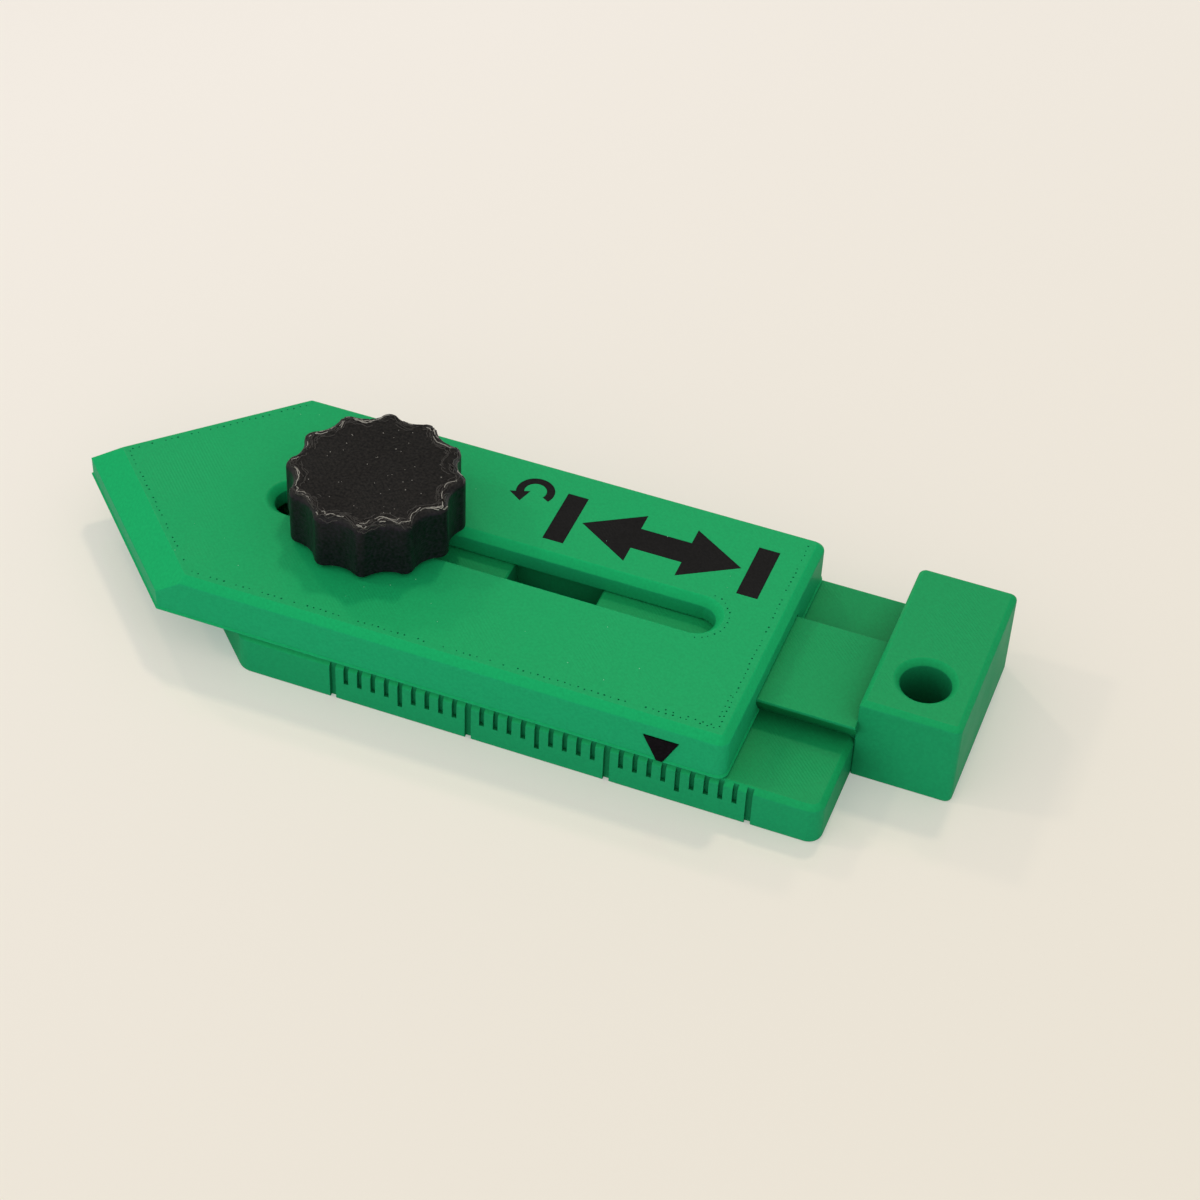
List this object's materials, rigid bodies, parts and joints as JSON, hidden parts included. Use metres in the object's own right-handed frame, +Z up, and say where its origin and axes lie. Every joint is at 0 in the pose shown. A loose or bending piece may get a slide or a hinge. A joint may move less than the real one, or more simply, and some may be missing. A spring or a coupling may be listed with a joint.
{
  "type": "offset marking gauge",
  "caption": "Pocket offset marking gauge: a pointed plate slides on a dovetail base, read against an edge scale and clamped by a lobed knob; a block at one end guides a pencil.",
  "frame": {"origin": "centre of the gauge's footprint, on the surface that it stands on, at the setting shown", "axes": "+X from the point towards the pencil block, +Y from the scale's wall towards the plain wall, +Z up through the knob"},
  "size_m": [0.132, 0.043, 0.0233],
  "materials": {
    "green_print": "satin printed filament, fine layer lines on the walls and diagonal raster on the tops",
    "black_print": "satin printed filament, fine layer lines",
    "zinc_steel": "bright zinc plated"
  },
  "bodies": {
    "base": {"base_body": "green_print", "clamp_bolt": "zinc_steel"},
    "plate": {"top_plate": "green_print", "pointer_inlay": "black_print"},
    "washer": {"flat_washer": "zinc_steel"},
    "knob": {"clamp_knob": "black_print", "clamp_nut": "zinc_steel"}
  },
  "joints": [
    {"name": "plate_slide", "type": "slide", "parent": "base", "child": "plate", "axis": [-1, 0, 0], "range_m": [-0.0127, 0.0473]},
    {"name": "washer_lift", "type": "slide", "parent": "base", "child": "washer", "axis": [0, 0, 1], "range_m": [0, 0.0016]},
    {"name": "knob_turn", "type": "hinge", "parent": "washer", "child": "knob", "pos_m": [-0.02077, 0, 0.0143], "axis": [0, 0, 1], "range_deg": [0, 720]}
  ],
  "couplings": [
    {"joint": "washer_lift", "follows": "knob_turn", "m_per_rad": 0.0001273}
  ]
}
